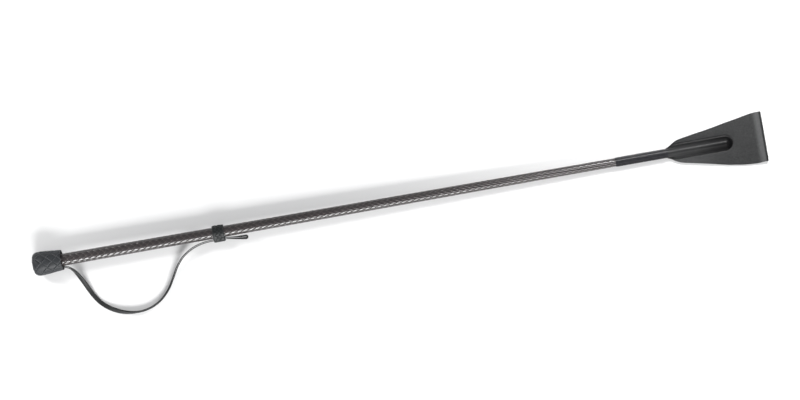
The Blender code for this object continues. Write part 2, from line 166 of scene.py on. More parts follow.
# The lace's route as in the CAD model: station, distance from the axis towards -Y, clearance under the
# lace, and the angle between its face and the surface.
LACE_ROUTE = [
    (23.2 * MM, 6.42 * MM, 8.45 * MM, 90),
    (26.5 * MM, 6.5 * MM, 8.4 * MM, 90),
    (30.2 * MM, 7.9 * MM, 7.6 * MM, 82),
    (33.6 * MM, 11.0 * MM, 6.3 * MM, 64),
    (36.4 * MM, 15.6 * MM, 4.7 * MM, 42),
    (39.2 * MM, 21.4 * MM, 3.0 * MM, 22),
    (42.4 * MM, 28.8 * MM, 1.3 * MM, 10),
    (46.0 * MM, 36.0 * MM, 0.4 * MM, 5),
    (50.2 * MM, 42.2 * MM, 0.05 * MM, 5),
    (55.2 * MM, 47.0 * MM, 0.05 * MM, 10),
    (60.6 * MM, 50.6 * MM, 0.05 * MM, 22),
    (66.8 * MM, 53.6 * MM, 0.05 * MM, 42),
    (73.6 * MM, 55.6 * MM, 0.05 * MM, 62),
    (80.8 * MM, 56.5 * MM, 0.05 * MM, 80),
    (88.4 * MM, 56.0 * MM, 0.05 * MM, 90),
    (96.6 * MM, 53.6 * MM, 0.05 * MM, 90),
    (104.4 * MM, 48.8 * MM, 0.05 * MM, 90),
    (111.6 * MM, 41.4 * MM, 0.1 * MM, 90),
    (117.6 * MM, 31.8 * MM, 0.6 * MM, 90),
    (123.2 * MM, 22.6 * MM, 1.9 * MM, 90),
    (130.4 * MM, 14.9 * MM, 3.8 * MM, 90),
    (139.6 * MM, 9.6 * MM, 5.6 * MM, 90),
    (149.4 * MM, 6.9 * MM, 6.7 * MM, 90),
    (158.2 * MM, 6.2 * MM, 6.97 * MM, 90),
]

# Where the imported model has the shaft

NODES = frame["nodes"]
JOINTS = {joint["name"]: joint for joint in frame["joints"]}


def node_points(node):
    return np.unique(np.array([v.co for v in NODES[node].data.vertices]).round(7), axis=0)


ALONG = np.array(JOINTS["slider_slide"]["axis"], float)
SIDE = np.array((0.0, -1.0, 0.0))
UP = np.cross(SIDE, ALONG)
ROD_MIDDLE = node_points("core_rod").mean(0)
BUTT = ROD_MIDDLE + ALONG * ((node_points("knob_cover") - ROD_MIDDLE) @ ALONG).min()


def turned_points(node):
    """A node's points as stations and distances from the shaft's axis."""
    away = node_points(node) - BUTT
    stations = away @ ALONG
    return stations, np.linalg.norm(away - np.outer(stations, ALONG), axis=1)


def widest(places, sizes, step=0.05 * MM):
    """The largest size at each place, in steps."""
    known = {}
    for place, size in zip((np.asarray(places) / step).round() * step, sizes):
        known[place] = max(size, known.get(place, 0.0))
    return sorted(known.items())


def outer_profile(node):
    """The corners of a turned node's outer profile, which bulges everywhere, as stations and radii."""
    hull = []
    for s, r in widest(*turned_points(node)):
        while len(hull) > 1:
            (s0, r0), (s1, r1) = hull[-2:]
            if (s1 - s0) * (r - r0) < (r1 - r0) * (s - s0):
                break
            hull.pop()
        hull.append((s, r))
    return hull


def span(node):
    stations = turned_points(node)[0]
    return float(stations.min()), float(stations.max())


def on_shaft(station, angle, radius):
    """Points round the shaft's axis."""
    out = np.multiply.outer(np.cos(angle), UP) + np.multiply.outer(np.sin(angle), SIDE)
    return BUTT + np.multiply.outer(station, ALONG) + out * np.asarray(radius)[..., None]


def rings_on_shaft(rows, sides):
    """A ring of points round the shaft's axis for each station and radius."""
    angles = np.arange(sides) * 2 * pi / sides
    return np.array([on_shaft(np.full(sides, s), angles, np.full(sides, r)) for s, r in rows])


# Mesh helpers


def store(mesh, name, values):
    """Keeps a number at each of a mesh's points, for its material."""
    stored = mesh.attributes.new(name, "FLOAT", "POINT")
    stored.data.foreach_set("value", np.asarray(values, np.float32).ravel())


def mesh_piece(name, verts, faces, material, wear_and_painted_highlight=None):
    mesh = bpy.data.meshes.new(name)
    mesh.from_pydata(np.asarray(verts).reshape(-1, 3).tolist(), [], faces)
    mesh.shade_smooth()
    mesh.materials.append(material)
    if wear_and_painted_highlight is not None:
        store(mesh, "wear_and_painted_highlight", wear_and_painted_highlight)
    obj = bpy.data.objects.new(name, mesh)
    bpy.context.scene.collection.objects.link(obj)
    return obj


def net_faces(rows, columns, ring=False, first=0):
    """Quads between rows of points, each row an open line or a ring."""
    last = columns if ring else columns - 1
    faces = []
    for r in range(rows - 1):
        here = first + r * columns
        for c in range(last):
            d = (c + 1) % columns
            faces.append((here + c, here + d, here + columns + d, here + columns + c))
    return faces


def tube_faces(rows, columns, first=0):
    """A tube's quads and its two end caps."""
    faces = net_faces(rows, columns, True, first)
    faces.append(tuple(first + c for c in reversed(range(columns))))
    faces.append(tuple(first + (rows - 1) * columns + c for c in range(columns)))
    return faces


def face_out(obj):
    """Turns the faces of a closed mesh outwards."""
    bm = bmesh.new()
    bm.from_mesh(obj.data)
    bmesh.ops.recalc_face_normals(bm, faces=bm.faces)
    bm.to_mesh(obj.data)
    bm.free()


def catmull_rom(points, step):
    """Rows on a smooth curve through rows of numbers, the first three of which are a place."""
    rows = [np.array(p, float) for p in points]
    rows = [2 * rows[0] - rows[1], *rows, 2 * rows[-1] - rows[-2]]
    out = []
    for a, b, c, d in zip(rows, rows[1:], rows[2:], rows[3:]):
        parts = ceil(np.linalg.norm(c[:3] - b[:3]) / step)
        for i in range(parts):
            t = i / parts
            out.append(
                0.5 * (2 * b + (c - a) * t + (2 * a - 5 * b + 4 * c - d) * t**2)
                + 0.5 * (3 * b - a - 3 * c + d) * t**3
            )
    out.append(rows[-2])
    return np.array(out)


def reach_along(points):
    """The distance along a line to each of its points."""
    return np.concatenate([[0], np.cumsum(np.linalg.norm(np.diff(points, axis=0), axis=1))])


def on_line(at, reach, points):
    """The places at some distances along a flat line."""
    return np.stack([np.interp(at, reach, points[:, k]) for k in (0, 1)], 1)


def smooth(start, end, x):
    """0 before the start and 1 after the end, eased between them; the end may be the smaller."""
    share = np.clip((x - start) / (end - start), 0, 1)
    return share * share * (3 - 2 * share)


def hump(x, start, full, fading, end):
    """0 before the start, 1 from full to fading and 0 after the end, eased between them."""
    return smooth(start, full, x) * smooth(end, fading, x)


def wander(x, seed):
    """A slow, repeatable unevenness from -1 to 1."""
    a, b, c = np.random.default_rng(seed).uniform(0, 2 * pi, 3)
    return (np.sin(x + a) + np.sin(2.3 * x + b) + np.sin(4.1 * x + c)) / 3


# Materials

POLISH_ROUGHNESS = 0.16
THREAD_PLY = 0.05 * MM  # depth of the twist


def node(tree, kind, **values):
    made = tree.nodes.new(kind)
    for key, value in values.items():
        setattr(made, key, value)
    return made


def noise(tree, place, scale, detail=4.0, rough=0.55):
    made = node(tree, "ShaderNodeTexNoise")
    made.inputs["Scale"].default_value = scale
    made.inputs["Detail"].default_value = detail
    made.inputs["Roughness"].default_value = rough
    tree.links.new(place, made.inputs["Vector"])
    return made.outputs["Fac"]


def ramp(tree, value, stops):
    """From the colour of one stop to the colour of the other."""
    made = node(tree, "ShaderNodeValToRGB")
    for element, (at, colour) in zip(made.color_ramp.elements, stops):
        element.position = at
        element.color = (*colour, 1.0)
    tree.links.new(value, made.inputs["Fac"])
    return made.outputs["Color"]


def to_range(tree, value, low, high, start=0.0, end=1.0):
    made = node(tree, "ShaderNodeMapRange")
    tree.links.new(value, made.inputs["Value"])
    for name, number in (("From Min", start), ("From Max", end), ("To Min", low), ("To Max", high)):
        made.inputs[name].default_value = number
    return made.outputs["Result"]


def mix_colour(tree, factor, before, colour):
    made = node(tree, "ShaderNodeMix", data_type="RGBA")
    inputs = {socket.identifier: socket for socket in made.inputs}
    tree.links.new(factor, inputs["Factor_Float"])
    tree.links.new(before, inputs["A_Color"])
    inputs["B_Color"].default_value = (*colour, 1.0)
    return next(s for s in made.outputs if s.identifier == "Result_Color")


def maths(tree, operation, a, b):
    made = node(tree, "ShaderNodeMath", operation=operation)
    for socket, value in zip(made.inputs, (a, b)):
        if isinstance(value, bpy.types.NodeSocket):
            tree.links.new(value, socket)
        else:
            socket.default_value = value
    return made.outputs["Value"]


def bump(tree, height, strength, distance, before=None):
    made = node(tree, "ShaderNodeBump")
    made.inputs["Strength"].default_value = strength
    made.inputs["Distance"].default_value = distance
    tree.links.new(height, made.inputs["Height"])
    if before is not None:
        tree.links.new(before, made.inputs["Normal"])
    return made.outputs["Normal"]


def new_material(name, roughness, specular=0.5):
    made = bpy.data.materials.new(name)
    made.use_nodes = True
    tree = made.node_tree
    shader = tree.nodes["Principled BSDF"]
    shader.inputs["Roughness"].default_value = roughness
    shader.inputs["Specular IOR Level"].default_value = specular
    place = node(tree, "ShaderNodeTexCoord").outputs["Object"]
    return made, tree, shader, place


def leather(
    name,
    dark,
    light,
    edge,
    roughness,
    specular,
    grain,
    grain_depth,
    pale_from=0.7,
    polish=0.0,
    mottled=0.35,
    channel_and_painted_fold_shade=None,
):
    """Grained leather: mottled and speckled colour, pores and creases in the grain, pale edges where it is
    worn (on the keeper the pale mark is painted highlight and painted sheen), a coat of polish, and a darker
    and smoother channel inside a seam, whose mask also paints shade round the keeper's fold."""
    made, tree, shader, place = new_material(name, roughness, specular)
    shader.inputs["Coat Weight"].default_value = polish
    shader.inputs["Coat Roughness"].default_value = POLISH_ROUGHNESS
    mottle = noise(tree, place, scale=110.0, detail=6.0)
    speckle = noise(tree, place, scale=grain * 0.6, detail=3.0, rough=0.7)
    mottle = maths(tree, "MULTIPLY", mottle, mottled)
    mixed = maths(tree, "ADD", mottle, maths(tree, "MULTIPLY", speckle, 1 - mottled))
    colour = ramp(tree, mixed, [(0.4, dark), (0.6, light)])
    coarse = 1.0
    # Darker and smoother inside a seam; on the keeper the same mask also paints shade round the fold.
    if channel_and_painted_fold_shade is not None:
        inside = node(tree, "ShaderNodeAttribute", attribute_name="channel_and_painted_fold_shade").outputs["Fac"]
        colour = mix_colour(tree, inside, colour, channel_and_painted_fold_shade)
        coarse = maths(tree, "SUBTRACT", 1.0, maths(tree, "MULTIPLY", inside, 0.45))
    # Pale edges where the leather is worn; on the keeper this pale colour is painted highlight and painted
    # sheen.
    if edge is not None:
        wear_and_painted_highlight = node(tree, "ShaderNodeAttribute", attribute_name="wear_and_painted_highlight").outputs["Fac"]
        patchiness = noise(tree, place, scale=700.0, detail=3.0)
        painted_highlight_and_wear_mask = to_range(tree, wear_and_painted_highlight, 0.0, 1.0, pale_from, 1.0)
        painted_highlight_and_wear_mask = maths(tree, "MULTIPLY", painted_highlight_and_wear_mask, to_range(tree, patchiness, 0.35, 1.3))
        colour = mix_colour(tree, maths(tree, "MINIMUM", painted_highlight_and_wear_mask, 1.0), colour, edge)
    tree.links.new(colour, shader.inputs["Base Color"])
    rubbed = noise(tree, place, scale=260.0, detail=5.0)
    rubbed = to_range(tree, rubbed, roughness - 0.07, roughness + 0.1, 0.25, 0.75)
    if polish > 0:
        tree.links.new(to_range(tree, wear_and_painted_highlight, polish, 0.0, 0.0, 0.6), shader.inputs["Coat Weight"])
        rubbed = maths(tree, "ADD", rubbed, maths(tree, "MULTIPLY", wear_and_painted_highlight, 0.25))
    if channel_and_painted_fold_shade is not None:
        rubbed = maths(tree, "SUBTRACT", rubbed, maths(tree, "MULTIPLY", inside, 0.07))
        glint = maths(tree, "SUBTRACT", specular, maths(tree, "MULTIPLY", inside, 0.3 * specular))
        tree.links.new(glint, shader.inputs["Specular IOR Level"])
    tree.links.new(rubbed, shader.inputs["Roughness"])
    cells = node(tree, "ShaderNodeTexVoronoi", feature="DISTANCE_TO_EDGE")
    cells.inputs["Scale"].default_value = grain
    tree.links.new(place, cells.inputs["Vector"])
    creases = to_range(tree, cells.outputs["Distance"], 0.0, 1.0, 0.0, 0.22)
    normal = bump(tree, maths(tree, "MULTIPLY", creases, coarse), 0.55, grain_depth)
    pores = maths(tree, "MULTIPLY", noise(tree, place, scale=grain * 2.4, detail=5.0), coarse)
    normal = bump(tree, pores, 0.4, grain_depth, normal)
    tree.links.new(normal, shader.inputs["Normal"])
    return made


def thread(name, dark, light, roughness, specular, ply, wax_coat=0.0):
    """Waxed twisted thread; a coat of wax is thin where it is worn."""
    made, tree, shader, place = new_material(name, roughness, specular)
    if wax_coat > 0:
        wear_and_painted_highlight = node(tree, "ShaderNodeAttribute", attribute_name="wear_and_painted_highlight").outputs["Fac"]
        tree.links.new(to_range(tree, wear_and_painted_highlight, wax_coat, 0.08 * wax_coat), shader.inputs["Coat Weight"])
        smears = noise(tree, place, scale=900.0, detail=3.0)
        tree.links.new(to_range(tree, smears, 0.05, 0.17, 0.35, 0.65), shader.inputs["Coat Roughness"])
    wax = noise(tree, place, scale=420.0, detail=5.0)
    tree.links.new(ramp(tree, wax, [(0.35, dark), (0.7, light)]), shader.inputs["Base Color"])
    rubbed = to_range(tree, wax, roughness - 0.08, roughness + 0.16, 0.3, 0.7)
    tree.links.new(rubbed, shader.inputs["Roughness"])
    twist = node(tree, "ShaderNodeTexWave", wave_type="BANDS", bands_direction="DIAGONAL")
    twist.inputs["Scale"].default_value = ply
    twist.inputs["Distortion"].default_value = 1.5
    tree.links.new(place, twist.inputs["Vector"])
    tree.links.new(bump(tree, twist.outputs["Fac"], 0.5, THREAD_PLY), shader.inputs["Normal"])
    return made


def wood(name):
    made, tree, shader, place = new_material(name, 0.55)
    rings = node(tree, "ShaderNodeTexWave", wave_type="RINGS", rings_direction="X")
    rings.inputs["Scale"].default_value = 160.0
    rings.inputs["Distortion"].default_value = 3.0
    tree.links.new(place, rings.inputs["Vector"])
    colour = ramp(tree, rings.outputs["Fac"], [(0.2, (0.34, 0.2, 0.1)), (0.8, (0.5, 0.33, 0.19))])
    tree.links.new(colour, shader.inputs["Base Color"])
    tree.links.new(bump(tree, noise(tree, place, 2400.0), 0.3, 0.05 * MM), shader.inputs["Normal"])
    return made


def resin(name):
    """Black glass-fibre rod: drawn fibres in resin."""
    made, tree, shader, place = new_material(name, 0.35)
    stretch = node(tree, "ShaderNodeMapping")
    stretch.inputs["Scale"].default_value = (0.03, 1.0, 1.0)
    tree.links.new(place, stretch.inputs["Vector"])
    fibres = noise(tree, stretch.outputs["Vector"], scale=3000.0, detail=3.0)
    colour = ramp(tree, fibres, [(0.3, (0.012, 0.012, 0.013)), (0.7, (0.035, 0.035, 0.036))])
    tree.links.new(colour, shader.inputs["Base Color"])
    tree.links.new(bump(tree, fibres, 0.3, 0.03 * MM), shader.inputs["Normal"])
    return made


def floor_paper(name):
    made, tree, shader, place = new_material(name, 0.85, 0.2)
    cloudy = noise(tree, place, scale=3.0, detail=2.0)
    colour = ramp(tree, cloudy, [(0.3, (0.75, 0.75, 0.75)), (0.7, (0.77, 0.77, 0.77))])
    tree.links.new(colour, shader.inputs["Base Color"])
    return made


PLAIT_LEATHER = leather(
    "plaited_leather",
    dark=(0.0125, 0.0088, 0.0095),
    light=(0.0205, 0.015, 0.0158),
    edge=(0.11, 0.09, 0.078),
    roughness=0.34,
    specular=0.5,
    grain=2600.0,
    grain_depth=0.005 * MM,
    polish=0.85,
)
KNOB_LEATHER = leather(
    "knob_leather",
    dark=(0.0145, 0.0162, 0.0185),
    light=(0.026, 0.0285, 0.0315),
    edge=(0.12, 0.126, 0.132),
    roughness=0.5,
    specular=0.3,
    grain=2400.0,
    grain_depth=0.009 * MM,
)
SLIDER_LEATHER = leather(
    "slider_leather",
    dark=(0.004, 0.005, 0.0055),
    light=(0.009, 0.0105, 0.011),
    edge=(0.06, 0.066, 0.07),
    roughness=0.46,
    specular=0.3,
    grain=2400.0,
    grain_depth=0.009 * MM,
)
LACE_LEATHER = leather(
    "lace_leather",
    dark=(0.006, 0.007, 0.007),
    light=(0.012, 0.013, 0.0135),
    edge=(0.028, 0.029, 0.03),
    roughness=0.4,
    specular=0.5,
    grain=2400.0,
    grain_depth=0.009 * MM,
)
LINING_LEATHER = leather(
    "lining_leather",
    dark=(0.002, 0.002, 0.002),
    light=(0.005, 0.005, 0.005),
    edge=None,
    roughness=0.8,
    specular=0.2,
    grain=1500.0,
    grain_depth=0.03 * MM,
)
KEEPER_LEATHER = leather(
    "keeper_leather",
    dark=(0.0072, 0.0074, 0.0077),
    light=(0.0275, 0.028, 0.0285),
    # On the keeper this pale colour is painted highlight and painted sheen.
    edge=(0.088, 0.089, 0.09),
    roughness=0.46,
    specular=0.25,
    grain=2300.0,
    grain_depth=0.05 * MM,
    pale_from=0.0,
    mottled=0.12,
    # The dark channel colour, which round the fold is painted shade.
    channel_and_painted_fold_shade=(0.0015, 0.0015, 0.0017),
)
BINDING_THREAD = thread(
    "binding_thread",
    dark=(0.008, 0.008, 0.0095),
    light=(0.02, 0.0195, 0.023),
    roughness=0.55,
    specular=0.12,
    ply=900.0,
    wax_coat=0.7,
)
SEAM_THREAD_LOOK = thread(
    "seam_thread",
    dark=(0.003, 0.003, 0.003),
    light=(0.008, 0.008, 0.008),
    roughness=0.5,
    specular=0.4,
    ply=1100.0,
)


# Camera, floor and light


def make_camera():
    data = bpy.data.cameras.new("camera")
    data.lens = LENS
    data.sensor_width = 36.0
    obj = bpy.data.objects.new("camera", data)
    bpy.context.scene.collection.objects.link(obj)
    low, high = CAD_BOX
    middle = (low + high) / 2
    obj.location = (middle.x, middle.y + CAMERA_SHIFT, CAMERA_HEIGHT)
    obj.rotation_euler = (0.0, 0.0, -radians(CAMERA_TURN))
    bpy.context.scene.camera = obj


def softbox(name, aim, away, size, watts):
    """A soft light, placed away from the point of the floor that it is aimed at, with its length along the
    crop first in its size."""
    data = bpy.data.lights.new(name, "AREA")
    data.shape = "RECTANGLE"
    data.size_y, data.size = size
    data.energy = watts
    obj = bpy.data.objects.new(name, data)
    bpy.context.scene.collection.objects.link(obj)
    obj.location = Vector((*aim, 0.0)) + Vector(away)
    obj.rotation_euler = Vector(away).to_track_quat("Z", "X").to_euler()
    obj.visible_camera = False


def make_stage():
    bpy.ops.mesh.primitive_plane_add(size=FLOOR_SIZE, location=(0, 0, 0))
    floor = bpy.context.object
    floor.name = "floor"
    floor.data.materials.append(floor_paper("floor_paper"))
    floor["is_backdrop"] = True
    softbox("key", aim=(-0.2, 0.0), away=(0.0, -0.97, 0.62), size=(0.94, 0.46), watts=21.0)
    softbox("fill", aim=(0.27, 0.0), away=(0.08, 0.25, 0.313), size=(0.22, 0.14), watts=2.8)
    softbox("butt_light", aim=(-0.315, 0.0), away=(-0.17, 0.18, 0.24), size=(0.1, 0.14), watts=0.8)
    world = bpy.data.worlds.new("studio")
    world.use_nodes = True
    background = world.node_tree.nodes["Background"]
    background.inputs["Color"].default_value = (0.97, 0.98, 1.0, 1.0)
    background.inputs["Strength"].default_value = 0.36
    bpy.context.scene.world = world
    bpy.context.scene.view_settings.view_transform = "Standard"


# The wrist lace

# Its cross-section, across and out from -1 to 1
LACE_SHAPE = [(-1, 0.35), (-0.94, 0.8), (-0.7, 1), (0, 1.04), (0.7, 1), (0.94, 0.8), (1, 0.35)]
LACE_SHAPE += [(across, -out) for across, out in reversed(LACE_SHAPE)]


def lace_height(lift, angle):
    """The height of the doubled lace's middle, with its face at an angle to the surface."""
    stack = (LACE_SPACING + LACE_THICKNESS) / 2
    return lift + stack * np.cos(angle) + LACE_WIDTH / 2 * np.sin(angle)


def strip_ways(points, angles):
    """The way along a line of points at each, and the way out of the lace's face, which has an angle to the
    surface there."""
    runs = np.gradient(points, axis=0)
    runs /= np.linalg.norm(runs, axis=1)[:, None]
    level = np.cross(runs, (0.0, 0.0, 1.0))
    level /= np.linalg.norm(level, axis=1)[:, None]
    up = np.cross(level, runs)
    return runs, up * np.cos(angles)[:, None] + level * np.sin(angles)[:, None]


def flat_strip(name, points, angles):
    """The lace along a line of points, its face at an angle to the surface at each."""
    runs, normals = strip_ways(points, angles)
    sides = np.cross(runs, normals)
    rows = [points + sides * a * LACE_WIDTH / 2 + normals * b * LACE_THICKNESS / 2 for a, b in LACE_SHAPE]
    rows = np.array(rows).transpose(1, 0, 2)
    wear_and_painted_highlight = np.tile([1.0 if abs(a) > 0.9 else 0.3 * abs(a) for a, _ in LACE_SHAPE], (len(points), 1))
    obj = mesh_piece(name, rows, tube_faces(len(points), len(LACE_SHAPE)), LACE_LEATHER, wear_and_painted_highlight)
    face_out(obj)
    return obj


def lace_legs():
    """The legs of the doubled lace, face to face, and the middle lines that they follow."""
    rows = []
    for station, distance, lift, angle in LACE_ROUTE:
        turn = radians(angle)
        rows.append((CAD_BOX[0].x + station, -distance, lace_height(lift, turn), turn))
    end = np.array(rows[-1])
    ahead = np.array((*(ALONG * LACE_HIDDEN), 0.0))
    rows = catmull_rom([*rows, end + ahead], 1.1 * MM)
    places, angles = rows[:, :3], rows[:, 3]
    normals = strip_ways(places, angles)[1]
    made = []
    for name, side in (("inner", -1), ("outer", 1)):
        line = places + normals * side * LACE_SPACING / 2
        obj = flat_strip("wrist_lace_leg_" + name, line, angles)
        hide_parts("wrist_lace_" + name)
        made.append((obj, line))
    return made


def lace_fold():
    """The lace's folded end, from inside the slider to beyond it."""
    ring_start, ring_end = span("slider_ring")
    tail_end = span("wrist_lace_tail")[1]
    near = LACE_ROUTE[-1][1]
    start = ring_start + LACE_HIDDEN + 0.4 * MM
    opened = TAIL_OPENING / 2
    half = LACE_SPACING / 2
    middle = [
        (start, near, 0.0),
        (ring_end + 1.5 * MM, near + 0.1 * MM, 0.0),
        (tail_end - 10 * MM, near + 1.1 * MM, 0.0),
        (tail_end - LACE_THICKNESS / 2 - opened, near + 1.9 * MM, 0.0),
    ]
    rows = catmull_rom(middle, 1.0 * MM)
    share = np.clip((rows[:, 0] - ring_end) / (rows[-1, 0] - ring_end), 0, 1)
    wide = half + (opened - half) * share**1.4
    turn = np.radians(np.arange(12, 180, 12))
    bend = np.stack([rows[-1, 0] + opened * np.sin(turn), rows[-1, 1] - opened * np.cos(turn)], 1)
    inner = np.stack([rows[:, 0], rows[:, 1] - wide], 1)
    outer = np.stack([rows[:, 0], rows[:, 1] + wide], 1)[::-1]
    loop = np.concatenate([inner, bend, outer])
    line = BUTT + np.outer(loop[:, 0], ALONG) + np.outer(loop[:, 1], SIDE)
    lean = np.concatenate([share, np.ones(len(bend)), share[::-1]])
    angles = pi / 2 - radians(TAIL_LEAN) * lean
    obj = flat_strip("wrist_lace_fold", line, angles)
    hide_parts("wrist_lace_tail")
    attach(obj, "slider")
    return obj


def wrist_lace():
    legs = lace_legs()
    fold = lace_fold()
    for i, (obj, line) in enumerate(legs):
        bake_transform(obj)
        tuple(line[0])


# Woven work


def over_under(phase, sign):
    """How high a strand lies, from -1 to 1, at a phase that gains 1 with each strand it crosses."""
    swing = sign * 1.2 * np.cos(pi * phase) - 0.15
    return np.tanh(WEAVE_STEEP * swing) / np.tanh(WEAVE_STEEP * 1.05)


def woven_steps(first, last, offsets=(-0.5, -0.42, -0.31, 0.0, 0.31, 0.42)):
    """Places along a strand, closest together where it dips between two others."""
    whole = np.arange(int(first) - 1, int(last) + 2)
    steps = (whole[:, None] + np.array(offsets)).ravel()
    return np.concatenate([[first], steps[(steps > first) & (steps < last)], [last]])


# A strip's cross-section, across and out from -1 to 1, and how worn each of its corners is
STRIP_SHAPE = [(-1, -0.2), (-0.985, 0.55), (-0.93, 0.86), (-0.82, 0.95), (-0.35, 1.0)]
STRIP_SHAPE += [(-a, b) for a, b in reversed(STRIP_SHAPE)] + [(0.94, -1.0), (-0.94, -1.0)]
STRIP_WEAR = [0.6, 1.0, 1.0, 0.0, 0.0, 0.0, 0.0, 1.0, 1.0, 0.6, 0.0, 0.0]


def woven_strand(name, number, forward, w, fill, surface, thickness, wave, material):
    """One strand of a plain weave on a tube. Strands of one hand hold v, and of the other u; the surface
    turns (u, v, height) into points, and w = u - v grows along the tube."""
    held = number + 0.5
    along = w + held if forward else held - w
    drift = 0.035 * wander(w * 0.55, number + 40 * forward)
    swell = 1.0 + 0.04 * wander(w * 0.9 + 3, number + 70 * forward)
    height = over_under(along - 0.5 - number, 1 if forward else -1) * wave
    height = height + 0.05 * wave * wander(w * 1.7, number + 90 * forward)
    rows = []
    for across, rise in STRIP_SHAPE:
        other = held + drift + across * fill / 2 * swell
        level = height + rise * thickness / 2
        u, v = (along, other) if forward else (other, along)
        rows.append(surface(u, v, level))
    rows = np.array(rows).transpose(1, 0, 2)
    wear_and_painted_highlight = np.tile(STRIP_WEAR, (len(w), 1))
    obj = mesh_piece(name, rows, tube_faces(len(w), len(STRIP_SHAPE)), material, wear_and_painted_highlight)
    face_out(obj)
    return obj


def weave(kind, count, w, look, node_name):
    """The strands of a woven tube, of both hands."""
    for forward, hand in ((True, "right"), (False, "left")):
        for number in range(count):
            obj = woven_strand(f"{kind}_{hand}_{number + 1}", number, forward, w, *look)
            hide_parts(node_name)
            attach(obj, "root")


def shaft_plait():
    start = span("shaft_plait")[0]
    stations, radii = zip(*outer_profile("shaft_plait"))
    count = SHAFT_STRANDS
    drop = SHAFT_WAVE + SHAFT_STRIP / 2

    def surface(u, v, level):
        station = start + SHAFT_PITCH * (u - v) / (2 * count)
        radius = np.interp(station, stations, radii) - drop + level
        return on_shaft(station, 2 * pi * (u + v) / (2 * count), radius)

    crossings = 2 * count * (span("keeper_binding")[0] + SHAFT_HIDDEN - start) / SHAFT_PITCH
    w = woven_steps(0.4, crossings - 0.4)
    look = (SHAFT_FILL, surface, SHAFT_STRIP, SHAFT_WAVE, PLAIT_LEATHER)
    weave("shaft_strand", count, w, look, "shaft_plait")


def knob_line():
    """The knob's outer profile from the middle of its butt to inside its mouth, as evenly spaced stations
    and radii, with the way out of the surface at each."""
    stations, radii = turned_points("knob_cover")
    outer = outer_profile("knob_cover")
    mouth = outer[-1][0]
    inside = float(radii[stations > mouth - 0.03 * MM].min())
    points = [(0.0, 0.0)] + [p for p in outer if p[0] < mouth - 0.2 * MM]
    wall = points[-1][1] - inside
    points += [(mouth - 0.1 * MM, points[-1][1] - 0.3 * wall), (mouth, inside)]
    points += [(mouth - 0.4 * MM, inside - 0.5 * wall), (mouth - 2.4 * MM, inside - 0.7 * wall)]
    points = np.array(points)
    reach = reach_along(points)
    even = np.linspace(0, reach[-1], 240)
    line = on_line(even, reach, points)
    for _ in range(6):
        line[1:-1] = (line[:-2] + 2 * line[1:-1] + line[2:]) / 4
    run = np.gradient(line, axis=0)
    run /= np.linalg.norm(run, axis=1)[:, None]
    out = np.stack([-run[:, 1], run[:, 0]], 1)
    return even, line, out


def knob():
    even, line, out = knob_line()
    count = KNOB_STRIPS
    drop = KNOB_WAVE + KNOB_STRIP / 2
    rate = tan(radians(KNOB_ANGLE)) / (2 * pi * np.maximum(line[:, 1], 0.5 * MM))
    turn = np.concatenate([[0], np.cumsum((rate[1:] + rate[:-1]) / 2 * np.diff(even))])
    hole = int(np.searchsorted(line[:, 1], KNOB_HOLE))
    near_mouth = KNOB_LIP + (1 - KNOB_LIP) * (even[-1] - KNOB_LIP_LENGTH - even) / KNOB_LIP_EASE
    slim = np.minimum(np.clip(line[:, 1] / KNOB_FULL, 0.25, 1.0), np.clip(near_mouth, KNOB_LIP, 1.0))

    def surface(u, v, level):
        reach = np.interp((u - v) / (2 * count), turn, even)
        station, radius = (np.interp(reach, even, line[:, k]) for k in (0, 1))
        lift = (level - drop) * np.interp(reach, even, slim)
        ways = [np.interp(reach, even, out[:, k]) for k in (0, 1)]
        angle = 2 * pi * (u + v) / (2 * count)
        return on_shaft(station + lift * ways[0], angle, radius + lift * ways[1])

    ends = (2 * count * turn[hole], 2 * count * turn[-1])
    w = np.sort(np.concatenate([woven_steps(*ends), woven_steps(*ends, KNOB_STEPS)[1:-1]]))
    look = (KNOB_FILL, surface, KNOB_STRIP, KNOB_WAVE, KNOB_LEATHER)
    weave("knob_strip", count, w, look, "knob_cover")
    knob_lining(line, out, slim)
    knob_button()


def knob_lining(line, out, slim):
    """The dark leather under the woven strips."""
    inner = line - out * ((2 * KNOB_WAVE + KNOB_STRIP * 0.8) * slim)[:, None]
    rows = [(s, max(r, 0.05 * MM)) for s, r in inner[::4]]
    sides = 48
    places = rings_on_shaft(rows, sides)
    obj = mesh_piece("knob_lining", places, net_faces(len(rows), sides, True), LINING_LEATHER)
    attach(obj, "root")


def knob_button():
    """The small leather dome in the middle of the butt."""
    rows = []
    for rise in np.linspace(0, 1, 8):
        radius = BUTTON_RADIUS * cos(rise * pi / 2)
        rows.append((BUTTON_BASE - BUTTON_DOME * sin(rise * pi / 2), max(radius, 0.02 * MM)))
    sides = 32
    wear_and_painted_highlight = np.repeat([[0.9], [0.5], [0.2]] + 5 * [[0.0]], sides, axis=1)
    places = rings_on_shaft(rows, sides)
    obj = mesh_piece("knob_button", places, tube_faces(len(rows), sides), KNOB_LEATHER, wear_and_painted_highlight)
    face_out(obj)
    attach(obj, "root")


def ring_outline(samples=240):
    """The slider's outline round the shaft, evenly spaced, with the way out at each point and its length."""
    away = node_points("slider_ring") - BUTT
    flat = np.stack([away @ SIDE, away @ UP], 1)
    ways = np.radians(np.arange(0, 360, 3))
    ways = np.stack([np.cos(ways), np.sin(ways)], 1)
    corners = flat[(flat @ ways.T).argmax(0)]
    corners = np.concatenate([corners, corners[:1]])
    reach = reach_along(corners)
    line = on_line(np.linspace(0, reach[-1], samples + 1)[:-1], reach, corners)
    for _ in range(10):
        line = (np.roll(line, 1, 0) + 2 * line + np.roll(line, -1, 0)) / 4
    run = np.roll(line, -1, 0) - np.roll(line, 1, 0)
    run /= np.linalg.norm(run, axis=1)[:, None]
    return line, np.stack([run[:, 1], -run[:, 0]], 1), float(reach[-1])


def round_ring(values, place):
    """Values known at each point of a closed outline, at places between them."""
    closed = np.append(values, values[0])
    return np.interp(place % len(values), np.arange(len(closed)), closed)


